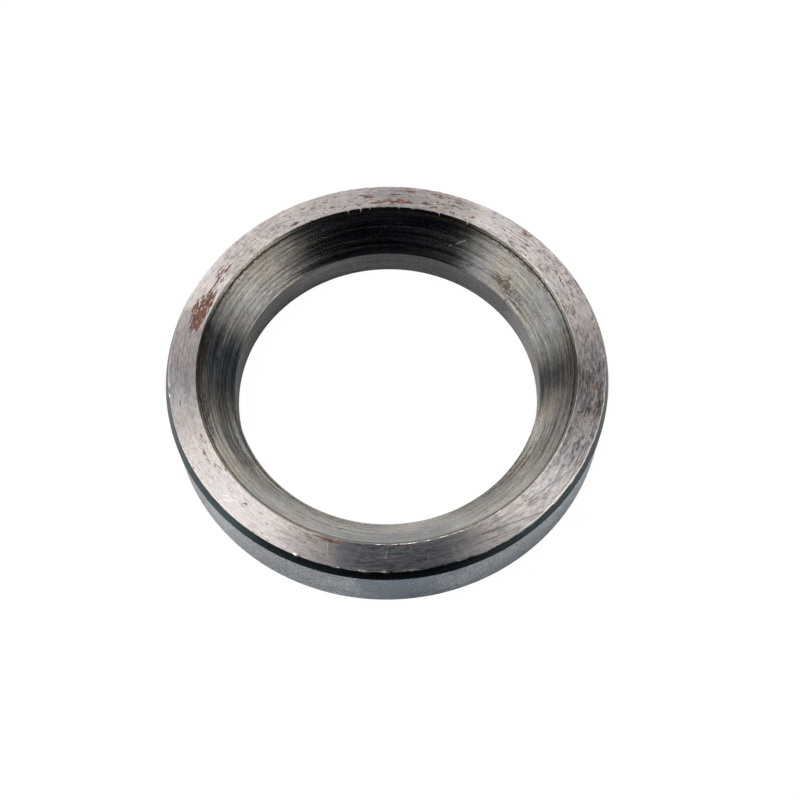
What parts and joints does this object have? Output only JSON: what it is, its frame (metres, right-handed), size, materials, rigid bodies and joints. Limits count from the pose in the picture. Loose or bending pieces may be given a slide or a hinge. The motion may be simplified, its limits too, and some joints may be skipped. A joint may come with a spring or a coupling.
{
  "type": "bearing housing washer",
  "caption": "Loose steel ring with a wide plain bore and a concave spherical raceway; the outer ring that the rollers of a spherical roller thrust bearing run on.",
  "frame": {"origin": "centre of the back face, on the ring's axis", "axes": "+Z along the ring's axis, from the back face towards the open side of the raceway"},
  "size_m": [0.13, 0.13, 0.0215],
  "materials": {
    "bearing_steel": "worn ground and turned steel with scattered surface rust"
  },
  "bodies": {
    "root": {"housing_washer": "bearing_steel"}
  },
  "joints": []
}
